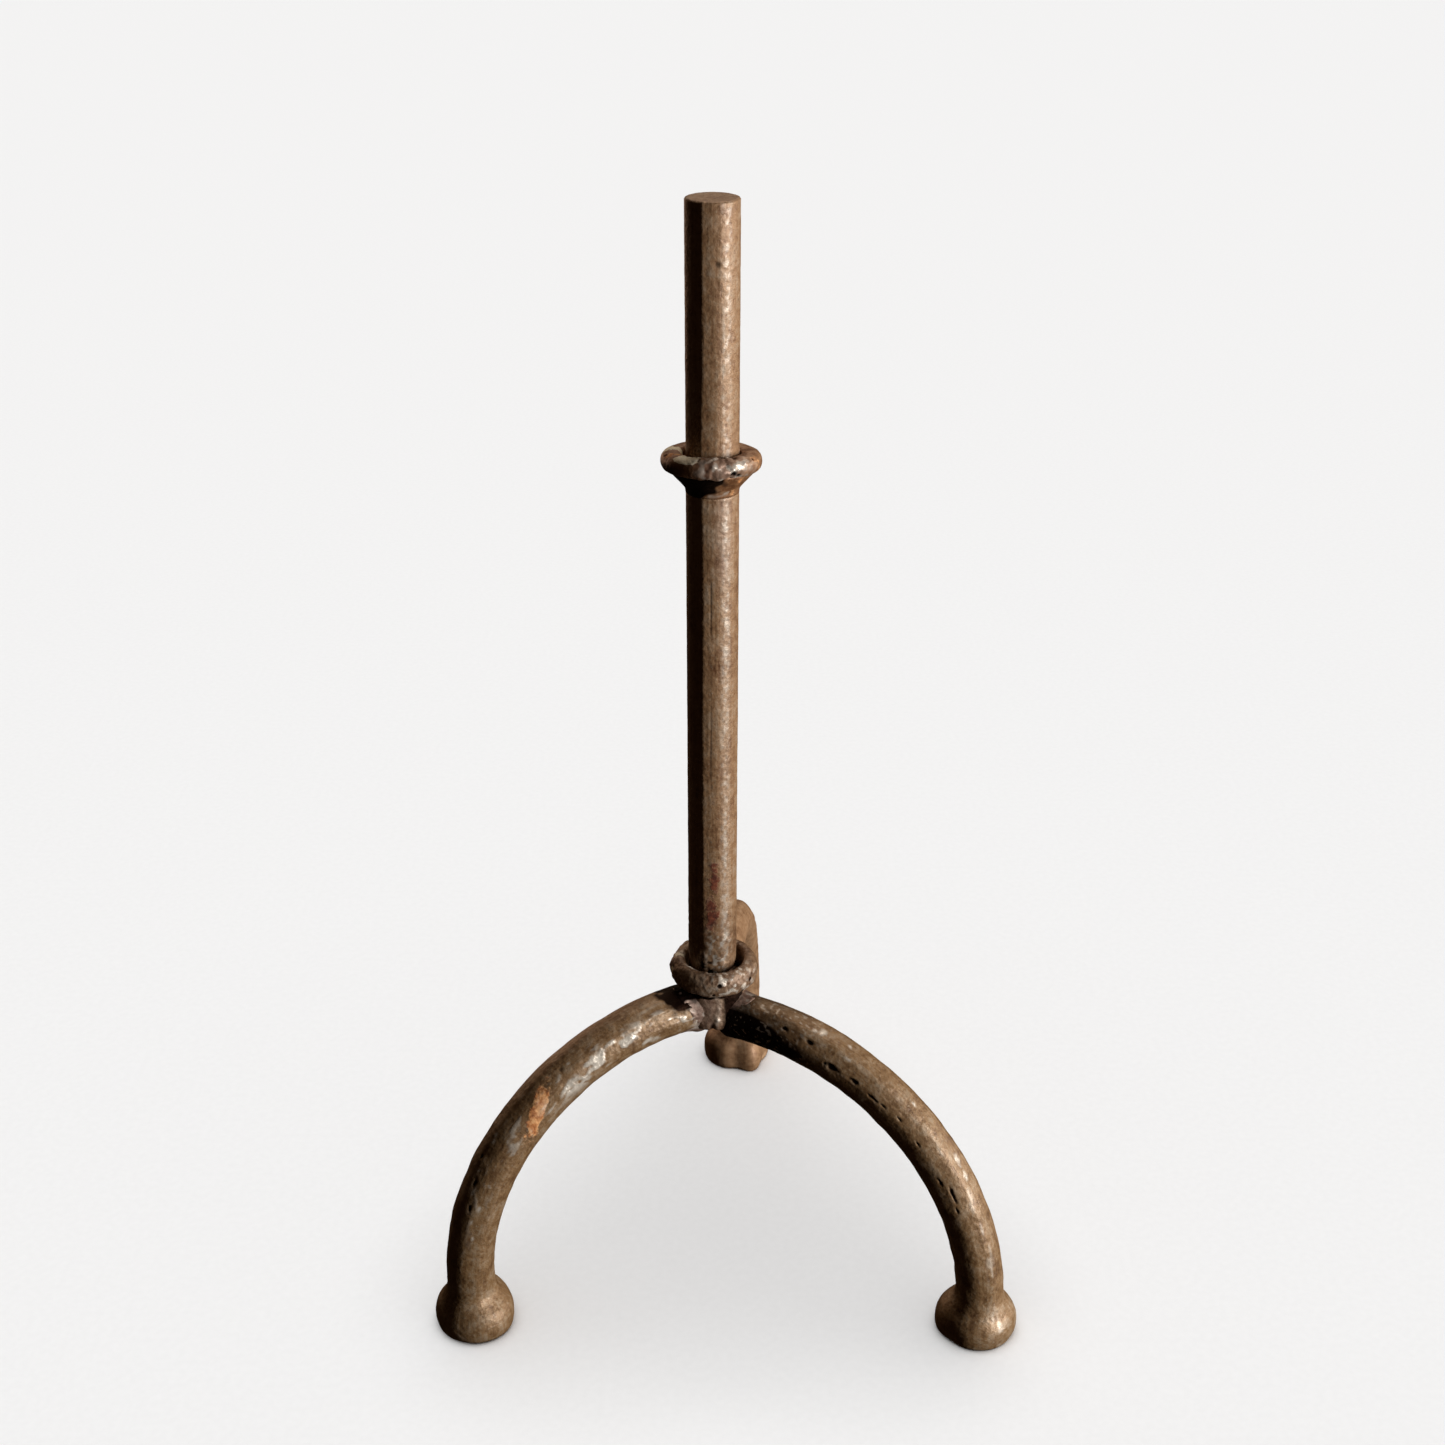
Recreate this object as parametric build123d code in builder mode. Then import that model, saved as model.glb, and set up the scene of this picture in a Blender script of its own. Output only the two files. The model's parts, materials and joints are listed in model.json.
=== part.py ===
"""Tripod retort stand of round forged bar.

The column stands on a welded hub with three bent legs.  A flared collar near the top
takes a loose upper bar.  Millimetres, +Z up, origin on the floor under the column,
-Y to the front.
"""
from build123d import *
from math import cos, radians, sin
import os

# ---- driving dimensions ----
BAR_R = 8.0                # every round bar in the stand
HEIGHT = 365.0             # floor to the upper bar's free end
BAR_CHAMFER = 0.6

HUB_R = 12.5
HUB_BOTTOM = 93.0
HUB_TOP = 108.0
HUB_EDGE_R = 3.0           # round along the hub's lower edge
RING_R = 14.0              # hub ring, outside
RING_HOLE_R = 9.6
RING_HEIGHT = 8.0
RING_X = 0.6               # the ring sits a little to the right of the column
RING_EDGE_R = 1.9

NOSE_SHOULDER = 3.6        # tenon under the lower bar's rounded end
NOSE_TOP = 8.4             # where the rounding starts, above the hub
NOSE_TENON_R = 4.8

COLLAR_Z = 288.7           # middle of the collar ring
COLLAR_RING_R = 15.1       # collar ring, outside
COLLAR_BAND = 3.7          # half the ring's section height
COLLAR_LIP = 0.7           # round on the ring's inner lip
SOCKET_RIM_R = 12.4
SOCKET_HOLE_R = 9.0
SOCKET_LAP = 0.6           # the ring laps over the cup by this much

# one entry per leg: azimuth from the front (degrees), centre line's height at the hub,
# reach, bend radius
LEGS = {
    "front_left": (-60.5, 98.8, 93.0, 79.0),
    "front_right": (61.0, 95.6, 102.0, 83.5),
    "rear": (174.0, 99.5, 107.0, 81.5),
}

FOOT_R = 12.8
FOOT_PAD = 5.0             # thickness of the pad's edge
FOOT_EDGE_R = 2.0
FOOT_TOP = 15.0            # where the flare meets the bar
FOOT_FLARE = (BAR_R + 1.3, 8.0)    # a point on the flare: radius, height

STUD_R = 4.0
RUNNING_GAP = 0.05         # radial clearance of the turning and sliding fits
SEAT_GAP = 0.1             # end play of the column in the hub
RECESS_R = 8.2             # pocket under the hub for the nut
RECESS_DEPTH = 8.6
WASHER_R = 7.8
WASHER_T = 1.6
NUT_AF = 13.0
NUT_T = 6.4

STEM_R = 6.3
STEM_LENGTH = 34.0
SPIGOT_R = 4.5
SPIGOT_LENGTH = 30.0
SPIGOT_GRIP = 16.0         # how far the spigot goes up the upper bar
SPIGOT_CHAMFER = 0.8

# ---- derived dimensions ----
STUD_DEPTH = 18.0                  # how far the stud goes up the lower bar
STUD_CHAMFER = 0.6
STUD_BOTTOM = HUB_BOTTOM + STUD_CHAMFER
RECESS_TOP = HUB_BOTTOM + RECESS_DEPTH
WASHER_BOTTOM = RECESS_TOP - SEAT_GAP - WASHER_T

SOCKET_FOOT = COLLAR_Z - 9.2       # foot of the flared cup, on top of the lower bar
SOCKET_FLOOR = COLLAR_Z - 2.8      # the upper bar stands here
SOCKET_TOP = COLLAR_Z + SOCKET_LAP
FLARE_TOP = COLLAR_Z - COLLAR_BAND + 0.3
FLARE_POINT = (BAR_R + 1.1, SOCKET_FOOT + 3.1)

LEG_TENON_R = 2.5
LEG_TENON_RISE = 2.5               # tenon above the leg's centre line, clear of the hub's edge
LEG_TENON_END = 9.4                # radius from the column axis
FOOT_TENON_R = 5.0
FOOT_TENON_END = 2.5
WELD_START = 8.6
WELD_END = 15.0
WELD_LEG = 2.0
WELD_EDGE = 0.1                    # thickness of the weld where it runs out
WELD_BOTTOM = HUB_BOTTOM + HUB_EDGE_R
SCAR_SIZE = (1.6, 2.8)             # weld scar on the ring: half width, half height
SCAR_DEPTH = 4.0
SCAR_ROUND = 0.6


def leg_plane(azimuth):
    """Upright plane through the column axis: local X outward, local Y up."""
    a = radians(azimuth)
    return Plane(origin=(0, 0, 0), x_dir=(sin(a), -cos(a), 0), z_dir=(-cos(a), -sin(a), 0))


def root_plane(azimuth, height, start):
    """Plane across a leg's level stub, facing outward, at a distance from the axis."""
    a = radians(azimuth)
    out = Vector(sin(a), -cos(a), 0)
    return Plane(origin=out * start + Vector(0, 0, height), x_dir=(0, 0, 1), z_dir=out)


def save(builder, label):
    builder.part.label = label
    export_step(builder.part, f"parts/{label}.step")


def make_leg(name, azimuth, crown_z, reach, bend_r):
    """Round bar: short level stub, quarter-circle bend, upright shank, a tenon at each end."""
    with BuildPart() as leg:
        with BuildLine(leg_plane(azimuth)) as route:
            stub = Line((HUB_R / 2, crown_z), (reach - bend_r, crown_z))
            bend = TangentArc(stub @ 1, (reach, crown_z - bend_r), tangent=stub % 1)
            Line(bend @ 1, (reach, FOOT_TOP))
        with BuildSketch(root_plane(azimuth, crown_z, HUB_R / 2)):
            Circle(BAR_R)
        sweep(path=route.wires()[0])
        with BuildSketch(Plane.XY):
            Circle(HUB_R)
        extrude(amount=HUB_TOP + BAR_R, mode=Mode.SUBTRACT)
        with BuildSketch(root_plane(azimuth, crown_z + LEG_TENON_RISE, LEG_TENON_END)):
            Circle(LEG_TENON_R)
        extrude(amount=HUB_R + 1 - LEG_TENON_END)
        a = radians(azimuth)
        with BuildSketch(Plane.XY.offset(FOOT_TENON_END)):
            with Locations((reach * sin(a), -reach * cos(a))):
                Circle(FOOT_TENON_R)
        extrude(amount=FOOT_TOP - FOOT_TENON_END)
    save(leg, f"leg_{name}")


def make_foot(name, azimuth, reach):
    """Spread foot: a round pad with a soft edge and a hollow flare up to the bar."""
    with BuildPart() as foot:
        a = radians(azimuth)
        edge_r = FOOT_R - FOOT_EDGE_R
        with BuildSketch(Plane(origin=(reach * sin(a), -reach * cos(a), 0),
                               x_dir=(1, 0, 0), z_dir=(0, -1, 0))):
            with BuildLine():
                Polyline((0, 0), (edge_r, 0))
                edge = TangentArc((edge_r, 0), (FOOT_R, FOOT_EDGE_R), tangent=(1, 0))
                side = Line(edge @ 1, (FOOT_R, FOOT_PAD - FOOT_EDGE_R))
                top = TangentArc(side @ 1, (edge_r, FOOT_PAD), tangent=(0, 1))
                ThreePointArc(top @ 1, FOOT_FLARE, (BAR_R, FOOT_TOP))
                Polyline((BAR_R, FOOT_TOP), (FOOT_TENON_R, FOOT_TOP),
                         (FOOT_TENON_R, FOOT_TENON_END), (0, FOOT_TENON_END), (0, 0))
            make_face()
        revolve(axis=Axis((reach * sin(a), -reach * cos(a), 0), (0, 0, 1)))
    save(foot, f"foot_{name}")


def make_weld(name, azimuth, crown_z):
    """Fillet of weld metal over the upper half of a leg's root, against the hub."""
    with BuildPart() as weld:
        with BuildSketch(root_plane(azimuth, crown_z, WELD_START)):
            Circle(BAR_R + WELD_LEG)
        with BuildSketch(root_plane(azimuth, crown_z, WELD_END)):
            Circle(BAR_R + WELD_EDGE)
        loft()
        with BuildSketch(Plane.XY):
            Circle(HUB_R)
        extrude(amount=HUB_TOP + 2 * BAR_R, mode=Mode.SUBTRACT)
        with BuildSketch(root_plane(azimuth, crown_z, 0)):
            Circle(BAR_R)
        extrude(amount=WELD_END + 1, mode=Mode.SUBTRACT)
        split(bisect_by=Plane.XY.offset(HUB_TOP - WELD_EDGE), keep=Keep.BOTTOM)
        split(bisect_by=Plane.XY.offset(WELD_BOTTOM), keep=Keep.TOP)
    save(weld, f"weld_{name}")


os.makedirs("parts", exist_ok=True)

for name, (azimuth, crown_z, reach, bend_r) in LEGS.items():
    make_leg(name, azimuth, crown_z, reach, bend_r)
    make_foot(name, azimuth, reach)
    make_weld(name, azimuth, crown_z)

# ---- hub ----
with BuildPart() as hub_body:
    with BuildSketch(Plane.XY.offset(HUB_BOTTOM)):
        Circle(HUB_R)
    extrude(amount=HUB_TOP - HUB_BOTTOM)
    fillet(hub_body.edges().group_by(Axis.Z)[0], radius=HUB_EDGE_R)
    with BuildSketch(Plane.XY.offset(HUB_BOTTOM)):
        Circle(RECESS_R)
    extrude(amount=RECESS_DEPTH, mode=Mode.SUBTRACT)
    with BuildSketch(Plane.XY.offset(HUB_BOTTOM)):
        Circle(STUD_R + RUNNING_GAP)
    extrude(amount=HUB_TOP - HUB_BOTTOM, mode=Mode.SUBTRACT)
    for azimuth, crown_z, reach, bend_r in LEGS.values():
        with BuildSketch(root_plane(azimuth, crown_z + LEG_TENON_RISE, LEG_TENON_END)):
            Circle(LEG_TENON_R)
        extrude(amount=HUB_R, mode=Mode.SUBTRACT)
save(hub_body, "hub_body")

with BuildPart() as hub_ring:
    with BuildSketch(Plane.XY.offset(HUB_TOP)):
        with Locations((RING_X, 0)):
            Circle(RING_R)
            Circle(RING_HOLE_R, mode=Mode.SUBTRACT)
    extrude(amount=RING_HEIGHT)
    fillet(hub_ring.edges().filter_by(GeomType.CIRCLE), radius=RING_EDGE_R)
save(hub_ring, "hub_ring")

# scar on the left where the ring's ends were closed
with BuildPart() as ring_weld:
    with BuildSketch(Plane.XZ.offset(-SCAR_DEPTH / 2)):
        with Locations((RING_X - RING_R + SCAR_SIZE[0] / 2, HUB_TOP + RING_HEIGHT / 2)):
            Ellipse(*SCAR_SIZE)
    extrude(amount=SCAR_DEPTH)
    fillet(ring_weld.edges().group_by(Axis.Y)[0] + ring_weld.edges().group_by(Axis.Y)[-1],
           radius=SCAR_ROUND)
    with BuildSketch(Plane.XY.offset(HUB_TOP)):
        with Locations((RING_X, 0)):
            Circle(RING_R)
    extrude(amount=RING_HEIGHT, mode=Mode.SUBTRACT)
save(ring_weld, "ring_weld")

# ---- column ----
with BuildPart() as lower_rod:
    with BuildSketch(Plane.XZ):
        with BuildLine():
            Polyline((0, HUB_TOP), (NOSE_TENON_R, HUB_TOP), (NOSE_TENON_R, HUB_TOP + NOSE_SHOULDER))
            TangentArc((BAR_R, HUB_TOP + NOSE_TOP), (NOSE_TENON_R, HUB_TOP + NOSE_SHOULDER),
                       tangent=(0, -1))
            Polyline((BAR_R, HUB_TOP + NOSE_TOP), (BAR_R, SOCKET_FOOT), (0, SOCKET_FOOT), (0, HUB_TOP))
        make_face()
    revolve(axis=Axis.Z)
    with BuildSketch(Plane.XY.offset(HUB_TOP)):
        Circle(STUD_R)
    extrude(amount=STUD_DEPTH, mode=Mode.SUBTRACT)
    with BuildSketch(Plane.XY.offset(SOCKET_FOOT)):
        Circle(STEM_R)
    extrude(amount=-STEM_LENGTH, mode=Mode.SUBTRACT)
save(lower_rod, "lower_rod")

with BuildPart() as column_stud:
    with BuildSketch(Plane.XY.offset(STUD_BOTTOM)):
        Circle(STUD_R)
    extrude(amount=HUB_TOP + STUD_DEPTH - STUD_BOTTOM)
    chamfer(column_stud.edges().filter_by(GeomType.CIRCLE), length=STUD_CHAMFER)
save(column_stud, "column_stud")

with BuildPart() as stud_washer:
    with BuildSketch(Plane.XY.offset(WASHER_BOTTOM)):
        Circle(WASHER_R)
        Circle(STUD_R, mode=Mode.SUBTRACT)
    extrude(amount=WASHER_T)
save(stud_washer, "stud_washer")

with BuildPart() as stud_nut:
    with BuildSketch(Plane.XY.offset(WASHER_BOTTOM - NUT_T)):
        RegularPolygon(radius=NUT_AF / 2, side_count=6, major_radius=False)
        Circle(STUD_R, mode=Mode.SUBTRACT)
    extrude(amount=NUT_T)
save(stud_nut, "stud_nut")

# flared cup: its hollow stem is pressed into the lower bar
with BuildPart() as collar_socket:
    with BuildSketch(Plane.XZ):
        with BuildLine():
            flare = ThreePointArc((BAR_R, SOCKET_FOOT), FLARE_POINT, (SOCKET_RIM_R, FLARE_TOP))
            Polyline(flare @ 1, (SOCKET_RIM_R, SOCKET_TOP), (SOCKET_HOLE_R, SOCKET_TOP),
                     (SOCKET_HOLE_R, SOCKET_FLOOR), (SPIGOT_R + RUNNING_GAP, SOCKET_FLOOR),
                     (SPIGOT_R + RUNNING_GAP, SOCKET_FOOT - STEM_LENGTH),
                     (STEM_R, SOCKET_FOOT - STEM_LENGTH), (STEM_R, SOCKET_FOOT), flare @ 0)
        make_face()
    revolve(axis=Axis.Z)
save(collar_socket, "collar_socket")

# half-round ring shrunk on the cup's rim
with BuildPart() as collar_ring:
    with BuildSketch(Plane.XZ):
        with BuildLine():
            lip_r = SOCKET_HOLE_R + COLLAR_LIP
            under = Line((SOCKET_RIM_R, SOCKET_TOP), (SOCKET_RIM_R, FLARE_TOP))
            belly = ThreePointArc(under @ 1, (COLLAR_RING_R, COLLAR_Z),
                                  (SOCKET_RIM_R, COLLAR_Z + COLLAR_BAND))
            lip = ThreePointArc(belly @ 1, (lip_r + COLLAR_LIP, COLLAR_Z + COLLAR_BAND - COLLAR_LIP),
                                (lip_r, SOCKET_TOP))
            Line(lip @ 1, under @ 0)
        make_face()
    revolve(axis=Axis.Z)
save(collar_ring, "collar_ring")

# ---- upper bar ----
with BuildPart() as upper_rod:
    with BuildSketch(Plane.XY.offset(SOCKET_FLOOR)):
        Circle(BAR_R)
    extrude(amount=HEIGHT - SOCKET_FLOOR)
    chamfer(upper_rod.edges().filter_by(GeomType.CIRCLE), length=BAR_CHAMFER)
    with BuildSketch(Plane.XY.offset(SOCKET_FLOOR)):
        Circle(SPIGOT_R)
    extrude(amount=SPIGOT_GRIP, mode=Mode.SUBTRACT)
save(upper_rod, "upper_rod")

with BuildPart() as upper_spigot:
    with BuildSketch(Plane.XY.offset(SOCKET_FLOOR - SPIGOT_LENGTH)):
        Circle(SPIGOT_R)
    extrude(amount=SPIGOT_LENGTH + SPIGOT_GRIP)
    chamfer(upper_spigot.edges().filter_by(GeomType.CIRCLE), length=SPIGOT_CHAMFER)
save(upper_spigot, "upper_spigot")
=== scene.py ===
"""Looks of the tripod retort stand: hand-worked iron bar with a brown patina.

Every piece is a grid of points wrapped round a bar, ring or turned shape, pushed in and out
by seeded noise, so that flats, hammer marks, pits and scale are real geometry.
"""

import json
import math
from itertools import product

import bpy
import numpy as np
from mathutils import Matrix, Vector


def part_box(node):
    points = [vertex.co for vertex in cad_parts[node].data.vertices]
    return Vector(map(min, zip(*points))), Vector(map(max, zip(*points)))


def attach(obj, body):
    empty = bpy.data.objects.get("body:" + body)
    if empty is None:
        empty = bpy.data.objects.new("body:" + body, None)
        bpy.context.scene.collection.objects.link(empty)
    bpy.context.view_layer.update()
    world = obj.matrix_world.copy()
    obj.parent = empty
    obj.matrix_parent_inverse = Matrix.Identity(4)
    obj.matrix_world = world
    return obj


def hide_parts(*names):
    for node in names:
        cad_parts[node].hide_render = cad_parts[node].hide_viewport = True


MM = 0.001
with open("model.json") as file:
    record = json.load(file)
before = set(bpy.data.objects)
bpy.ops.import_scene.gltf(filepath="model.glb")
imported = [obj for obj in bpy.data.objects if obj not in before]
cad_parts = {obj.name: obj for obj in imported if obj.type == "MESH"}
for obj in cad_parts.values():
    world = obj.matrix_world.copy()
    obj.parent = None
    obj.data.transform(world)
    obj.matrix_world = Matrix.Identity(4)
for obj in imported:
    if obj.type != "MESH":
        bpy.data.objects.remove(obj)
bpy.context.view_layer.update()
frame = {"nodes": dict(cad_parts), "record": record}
mounts = {m["name"]: m for m in frame["record"]["mounts"]}

# ---- sizes from the frame
BAR_R = (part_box("upper_rod")[1].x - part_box("upper_rod")[0].x) / 2
UPPER_LO, UPPER_HI = (corner.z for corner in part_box("upper_rod"))
LOWER_LO, LOWER_HI = (corner.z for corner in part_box("lower_rod"))
HUB_LO, HUB_HI = (corner.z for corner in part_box("hub_body"))
HUB_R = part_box("hub_body")[1].x
BAND_LO, BAND_HI = (corner.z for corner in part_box("hub_ring"))
BAND_R = (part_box("hub_ring")[1].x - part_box("hub_ring")[0].x) / 2
BAND_X = (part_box("hub_ring")[1].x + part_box("hub_ring")[0].x) / 2
CUP_LO, CUP_HI = (corner.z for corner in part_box("collar_socket"))
RIM_LO, RIM_HI = (corner.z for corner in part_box("collar_ring"))
RIM_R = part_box("collar_ring")[1].x
STUD_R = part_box("column_stud")[1].x
SPIGOT_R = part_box("upper_spigot")[1].x

BAND_HOLE_R = 9.6 * MM
CUP_HOLE_R = 8.9 * MM
STEM_R = 6.2 * MM
STEM_LENGTH = 34 * MM
RECESS_R = 8.2 * MM
RECESS_DEPTH = 8.6 * MM
TENON_R = 4.8 * MM
TENON_LENGTH = 3.6 * MM
BEND_R = {"front_left": 79.0 * MM, "front_right": 83.5 * MM, "rear": 81.5 * MM}
LEG_INNER = 8.5 * MM      # where a leg starts, inside the hub

CELL = 0.5 * MM           # spacing of the points along a bar
AROUND = 128              # points round a bar
FLOOR_GAP = 0.02 * MM
UP = np.array([0.0, 0.0, 1.0])


# ---- noise
HASH_X, HASH_Y, HASH_Z, HASH_SEED = 374761393, 668265263, 1442695041, 97531
HASH_FIRST, HASH_SECOND = 1274126177, 668265263
BITS_32, BITS_24 = 0xFFFFFFFF, 0xFFFFFF
NOISE_ORIGIN = 1000.5     # cells; keeps the numbers of the cells positive
CELLS_ORIGIN = 500.25
FARTHEST = 9.0            # cells; more than any distance to the nearest random point


def lattice(corner, seed):
    """A repeatable random number from 0 to 1 for each corner of the lattice."""
    ix, iy, iz = np.moveaxis(corner, -1, 0)
    h = (ix * HASH_X + iy * HASH_Y + iz * HASH_Z + seed * HASH_SEED) & BITS_32
    h = ((h ^ (h >> 13)) * HASH_FIRST) & BITS_32
    h = ((h ^ (h >> 15)) * HASH_SECOND) & BITS_32
    return ((h ^ (h >> 16)) & BITS_24) / BITS_24


def noise(p, cell, seed=0):
    """Smooth noise from -1 to 1 at points p; cell is its grain, one size or one per axis."""
    q = p / np.asarray(cell, float) + NOISE_ORIGIN
    base = np.floor(q).astype(np.int64)
    f = q - base
    f = f * f * f * (f * (6 * f - 15) + 10)
    total = np.zeros(q.shape[:-1])
    for dx, dy, dz in product((0, 1), repeat=3):
        weight = (np.where(dx, f[..., 0], 1 - f[..., 0])
                  * np.where(dy, f[..., 1], 1 - f[..., 1])
                  * np.where(dz, f[..., 2], 1 - f[..., 2]))
        total += weight * lattice(base + (dx, dy, dz), seed)
    return 2 * total - 1


def fractal(p, cell, octaves, seed=0):
    """Noise from -1 to 1 with finer and weaker noise added to it."""
    total, gain, norm = 0, 1.0, 0.0
    for k in range(octaves):
        total = total + gain * noise(p, np.asarray(cell, float) / 2 ** k, seed + 17 * k)
        norm += gain
        gain *= 0.5
    return total / norm


def cells(p, size, seed=0):
    """Distance to the nearest of one random point per cell, in cells, and that point's number."""
    q = p / np.asarray(size, float) + CELLS_ORIGIN
    base = np.floor(q).astype(np.int64)
    best = np.full(q.shape[:-1], FARTHEST)
    tag = np.zeros(q.shape[:-1])
    for step in product((-1, 0, 1), repeat=3):
        cell = base + step
        point = np.stack([cell[..., a] + lattice(cell, seed + 7 * a) for a in range(3)], -1)
        d = np.linalg.norm(q - point, axis=-1)
        nearer = d < best
        best = np.where(nearer, d, best)
        tag = np.where(nearer, lattice(cell, seed + 31), tag)
    return best, tag


def smooth(x, lo, hi):
    """0 below lo, 1 above hi, and an even ease between them."""
    t = np.clip((x - lo) / (hi - lo), 0, 1)
    return t * t * (3 - 2 * t)


def bump(x, centre, half):
    """1 at centre, easing to 0 at half either side."""
    return 1 - smooth(np.abs(x - centre), 0, half)


def near_angle(angle, centre, half):
    """Like bump, for an angle round a bar; centre and half in degrees."""
    away = np.abs(np.mod(np.degrees(angle) - centre + 180, 360) - 180)
    return 1 - smooth(away, 0, half)


def signed_degrees(angle):
    """An angle as degrees from -180 to 180."""
    return np.degrees(np.mod(angle + np.pi, 2 * np.pi) - np.pi)


def arc_length(degrees, radius):
    return degrees * radius * math.pi / 180


def from_axis(grid):
    """Distance of each point from the column axis."""
    return np.hypot(grid[..., 0], grid[..., 1])


def height_only(p):
    """The points moved on to the Z axis, for noise that changes only along a bar."""
    return p * (0, 0, 1)


# ---- surfaces
def normals(grid, wrap_u):
    """Outward unit normals of a grid whose second direction goes round."""
    along = np.gradient(grid, axis=0)
    if wrap_u:
        along = (np.roll(grid, -1, 0) - np.roll(grid, 1, 0)) / 2
    around = (np.roll(grid, -1, 1) - np.roll(grid, 1, 1)) / 2
    n = np.cross(around, along)
    size = np.linalg.norm(n, axis=-1, keepdims=True)
    return n / np.maximum(size, 1e-12)


def looks_inward(grid, wrap_u):
    """True if the grid's faces would look inward, by the sign of the volume they enclose."""
    p = grid - grid.mean((0, 1))
    a, b = (p, np.roll(p, -1, 0)) if wrap_u else (p[:-1], p[1:])
    a_next, b_next = np.roll(a, -1, 1), np.roll(b, -1, 1)
    return (a * (np.cross(a_next, b_next) + np.cross(b_next, b))).sum() < 0


def new_object(name, data):
    """An object with this data, placed in the scene."""
    thing = bpy.data.objects.new(name, data)
    bpy.context.scene.collection.objects.link(thing)
    return thing


def make_piece(name, grid, wrap_u, fields):
    """A closed mesh from a grid of points, with its extra per-point values stored as attributes."""
    nu, nv = grid.shape[:2]
    points = grid.reshape(-1, 3)
    rows = np.arange(nu if wrap_u else nu - 1)[:, None]
    cols = np.arange(nv)[None, :]
    a, b = rows * nv, ((rows + 1) % nu) * nv
    right = (cols + 1) % nv
    faces = np.stack([a + cols, a + right, b + right, b + cols], -1).reshape(-1, 4).tolist()
    if not wrap_u:
        points = np.vstack([points, grid[0].mean(0), grid[-1].mean(0)])
        first, last, top = len(points) - 2, len(points) - 1, (nu - 1) * nv
        for j in range(nv):
            k = (j + 1) % nv
            faces.append((first, k, j))
            faces.append((last, top + j, top + k))
    mesh = bpy.data.meshes.new(name)
    mesh.from_pydata(points.tolist(), [], faces)
    mesh.update()
    for key, values in fields.items():
        flat = values.reshape(nu * nv, -1)
        if not wrap_u:
            ends = [values[0].reshape(nv, -1).mean(0), values[-1].reshape(nv, -1).mean(0)]
            flat = np.vstack([flat, ends])
        kind = "FLOAT_VECTOR" if flat.shape[1] == 3 else "FLOAT"
        attribute = mesh.attributes.new(key, kind, "POINT")
        attribute.data.foreach_set("vector" if kind == "FLOAT_VECTOR" else "value", flat.ravel())
    mesh.polygons.foreach_set("use_smooth", [True] * len(mesh.polygons))
    return new_object(name, mesh)


def rounded(points, rounds=3, closed=False):
    """The polyline with its corners cut again and again into a smooth curve."""
    p = np.asarray(points, float)
    for _ in range(rounds):
        following = np.roll(p, -1, 0) if closed else p[1:]
        before = p if closed else p[:-1]
        early = 0.75 * before + 0.25 * following
        late = 0.25 * before + 0.75 * following
        cut = np.stack([early, late], 1).reshape(-1, 2)
        p = cut if closed else np.vstack([p[:1], cut, p[-1:]])
    return p


def resample(points, step, closed=False):
    """Points evenly spaced along a polyline."""
    p = np.asarray(points, float)
    if closed:
        p = np.vstack([p, p[:1]])
    lengths = np.linalg.norm(np.diff(p, axis=0), axis=1)
    s = np.concatenate([[0], np.cumsum(lengths)])
    t = np.linspace(0, s[-1], max(int(round(s[-1] / step)), 8) + 1)
    line = np.stack([np.interp(t, s, p[:, a]) for a in range(p.shape[1])], -1)
    return line[:-1] if closed else line


def turned(profile, step=CELL, around=AROUND, closed=False):
    """Grid and angles of a profile (radius, height) spun round the column axis; 0 is the front."""
    line = resample(profile, step, closed)
    theta = np.linspace(0, 2 * np.pi, around, endpoint=False)
    r, z = line[:, :1], line[:, 1:]
    grid = np.stack([r * np.sin(theta), -r * np.cos(theta), z + 0 * theta], -1)
    return grid, np.broadcast_to(theta, grid.shape[:2])


def flats(theta, corners, softness):
    """How far a bar's section lies inside its circle, as a share of the radius, with those corners."""
    total = 0
    taps = np.linspace(-1, 1, 7) * softness
    edge = np.sort(np.radians(corners))
    gaps = np.diff(np.append(edge, edge[0] + 2 * np.pi))
    for tap in taps:
        t = np.mod(theta + tap - edge[0], 2 * np.pi)
        k = np.clip(np.searchsorted(edge - edge[0], t, side="right") - 1, 0, len(edge) - 1)
        total = total + 1 - np.cos(gaps[k] / 2) / np.cos(t - (edge - edge[0])[k] - gaps[k] / 2)
    return total / len(taps)


def skin(p, seed, hammer=0.10, scale=0.06, grain=0.022):
    """Height of hand-worked iron at points p: broad hammer marks, scale and fine grain, in metres."""
    dents, _ = cells(p + 0.8 * MM * noise(p, 6 * MM, seed + 5)[..., None], 7.5 * MM, seed)
    height = hammer * MM * (smooth(dents, 0.1, 0.75) - 0.5)
    height += 0.06 * MM * fractal(p, 9 * MM, 2, seed + 11)
    flakes, level = cells(p, (1.7 * MM, 1.7 * MM, 2.8 * MM), seed + 3)
    rough = smooth(noise(p, 9 * MM, seed + 29), -0.5, 0.5) * 0.7 + 0.3
    height += scale * MM * (level - 0.5) * smooth(0.66 - flakes, 0, 0.18) * rough
    return height + grain * MM * fractal(p, 1.2 * MM, 2, seed + 23)


def pits(p, size, share, seed):
    """Depth from 0 to 1 of scattered pits; share is how many of the cells hold one."""
    d, tag = cells(p, size, seed)
    return (1 - smooth(d, 0.10, 0.34)) * (tag < share)


def finish_piece(name, grid, wrap_u, height, fields, body, slot, *nodes):
    """Pushes the grid out by height, keeps it off the floor, parents the piece to its body and hides the CAD
    parts it replaces.
    """
    if looks_inward(grid, wrap_u):
        grid, height = grid[:, ::-1], height[:, ::-1]
        fields = {key: values[:, ::-1] for key, values in fields.items()}
    grid = grid + normals(grid, wrap_u) * height[..., None]
    grid[..., 2] = np.maximum(grid[..., 2], FLOOR_GAP)
    piece = make_piece(name, grid, wrap_u, fields)
    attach(piece, body)
    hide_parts(*nodes)
    return piece


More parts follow.
